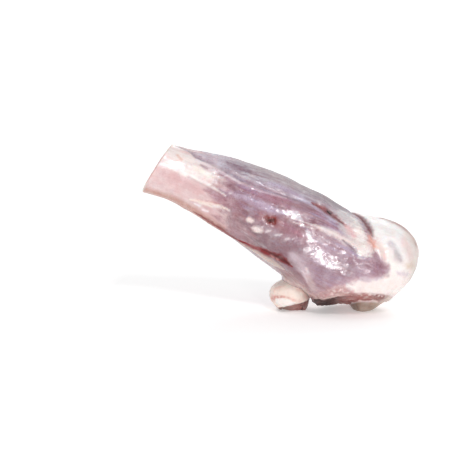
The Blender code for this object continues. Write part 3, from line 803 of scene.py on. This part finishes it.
def bone():
    """The bare knob and the shaft of the bone, with smooth cartilage on the knob."""
    piece = refined("bone_surface", "bone", BONE_VOXEL, 14)
    skin = Skin(piece, "#f6e6db", 0.38, 0.2)
    cloud = skin.noise(6.0, 1.0, 4, 2.0)
    ragged = skin.noise(1.8, 1.0, 3, 4.0)
    x, z = skin.points[:, 0] / MM, skin.points[:, 2] / MM
    ahead, up = (x - SHOULDER_AT[0]) / SHOULDER_SIZE, (z - SHOULDER_AT[1]) / SHOULDER_SIZE
    shoulder = np.exp(-np.square(ahead) - np.square(up))
    skin.move(0.22 * cloud + 0.12 * ragged + 1.6 * shoulder)
    sag_knob(skin)
    skin.paint("#e0b9ae", smooth(cloud, 0.0, 0.6) * 0.5)
    skin.paint("#f3e6dc", smooth(-cloud, 0.1, 0.6) * 0.6)
    skin.paint("#c9a79c", smooth(z, 24, 34) * 0.7)
    knob_colours(skin, ragged)
    skin.keep()
    piece.data.materials.append(wet("moist_bone", 1.5 * MM, "#c98f84", 0.25, fibre=0.2))
    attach(piece, "root")
    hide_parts("bone")


def marrow():
    """Spongy marrow, seen in the hock cut and at the bevel under the knob."""
    piece = refined("marrow_surface", "marrow", MARROW_VOXEL, 3)
    skin = Skin(piece, "#c98a84", 0.4, 0.0)
    sponge = skin.noise(1.6, 1.0, 3, 6.0)
    skin.move(-0.3 * smooth(sponge, 0.0, 0.4))
    sag_knob(skin)
    skin.paint("#8f3430", smooth(sponge, 0.0, 0.5) * 0.8)
    skin.paint("#e4bdb2", smooth(-sponge, 0.1, 0.5) * 0.7)
    x, z = skin.points[:, 0] / MM, skin.points[:, 2] / MM
    # Low down, at the bevel under the knob, the marrow is darker: raw marrow with painted shade.
    low = 1 - smooth(z, 14, 20)
    skin.paint("#8b524b", low * 0.9, gloss=0.6)
    skin.paint("#b97a72", low * smooth(sponge, 0.0, 0.4) * 0.6)
    skin.paint("#7a6255", low * (1 - smooth(x, 2, 9)) * 0.8)
    skin.keep()
    piece.data.materials.append(wet("moist_marrow", 1.5 * MM, "#b86a64", 0.3, fibre=0.0))
    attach(piece, "root")
    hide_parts("marrow")


def table():
    """A plain white floor that curves up into a wall, far behind the shank."""
    mesh = bpy.data.meshes.new("table")
    bm = bmesh.new()
    bmesh.ops.create_grid(bm, x_segments=1, y_segments=60, size=FLOOR_SIZE)
    for vert in bm.verts:
        vert.co.z = max(vert.co.y - WALL_FROM, 0.0) ** 2 / 4
    bm.to_mesh(mesh)
    bm.free()
    mesh.shade_smooth()
    finish = bpy.data.materials.new("pale_table")
    finish.use_nodes = True
    shader = finish.node_tree.nodes["Principled BSDF"]
    shader.inputs["Base Color"].default_value = (0.92, 0.92, 0.92, 1.0)
    shader.inputs["Roughness"].default_value = 0.8
    shader.inputs["Specular IOR Level"].default_value = 0.1
    Sum.tree = finish.node_tree
    place = Sum.node("ShaderNodeTexCoord", output=3)
    far = Sum.node("ShaderNodeVectorMath", {0: place}, output=1, operation="LENGTH")
    glow = far.between(0.3, 2.0, 0.5, 1.0)
    Sum.tree.links.new(glow.source, shader.inputs["Emission Color"])
    shader.inputs["Emission Strength"].default_value = 0.6
    mesh.materials.append(finish)
    obj = bpy.data.objects.new("table", mesh)
    bpy.context.scene.collection.objects.link(obj)


def lamp(name, place, aim, size, power):
    """A soft rectangular light that points at a place."""
    light = bpy.data.lights.new(name, "AREA")
    light.shape = "RECTANGLE"
    light.size, light.size_y = size
    light.energy = power
    obj = bpy.data.objects.new(name, light)
    obj.location = place
    obj.rotation_euler = (Vector(aim) - Vector(place)).to_track_quat("-Z", "Y").to_euler()
    bpy.context.scene.collection.objects.link(obj)


def studio():
    """White surroundings, two small lights in front that glint on the wet skin, and one behind."""
    world = bpy.data.worlds.new("white_room")
    world.use_nodes = True
    world.node_tree.nodes["Background"].inputs["Color"].default_value = (1.0, 1.0, 1.0, 1.0)
    world.node_tree.nodes["Background"].inputs["Strength"].default_value = 0.54
    bpy.context.scene.world = world
    lamp("upper_key", (0.19, -0.8, 0.74), (0.01, -0.03, 0.07), (0.12, 0.16), 2.7)
    lamp("lower_key", (0.2, -1.05, 0.25), (0.025, -0.03, 0.05), (0.1, 0.15), 2.1)
    lamp("back", (0.2, 0.7, 0.8), (0.0, 0.0, 0.06), (0.6, 0.4), 1.5)


def camera():
    """The photograph's view, from the shown side and a little above."""
    data = bpy.data.cameras.new("photo_view")
    data.lens = LENS
    data.sensor_width = FILM_WIDTH
    obj = bpy.data.objects.new("photo_view", data)
    forward = Vector((0.0, math.cos(VIEW_ELEVATION), -math.sin(VIEW_ELEVATION)))
    obj.location = VIEW_TARGET - forward * VIEW_DISTANCE
    obj.rotation_euler = forward.to_track_quat("-Z", "Y").to_euler()
    bpy.context.scene.collection.objects.link(obj)
    bpy.context.scene.camera = obj


def main():
    flesh()
    bone()
    marrow()
    table()
    studio()
    camera()
    bpy.context.scene.view_settings.view_transform = "Standard"
    bpy.context.view_layer.update()


main()
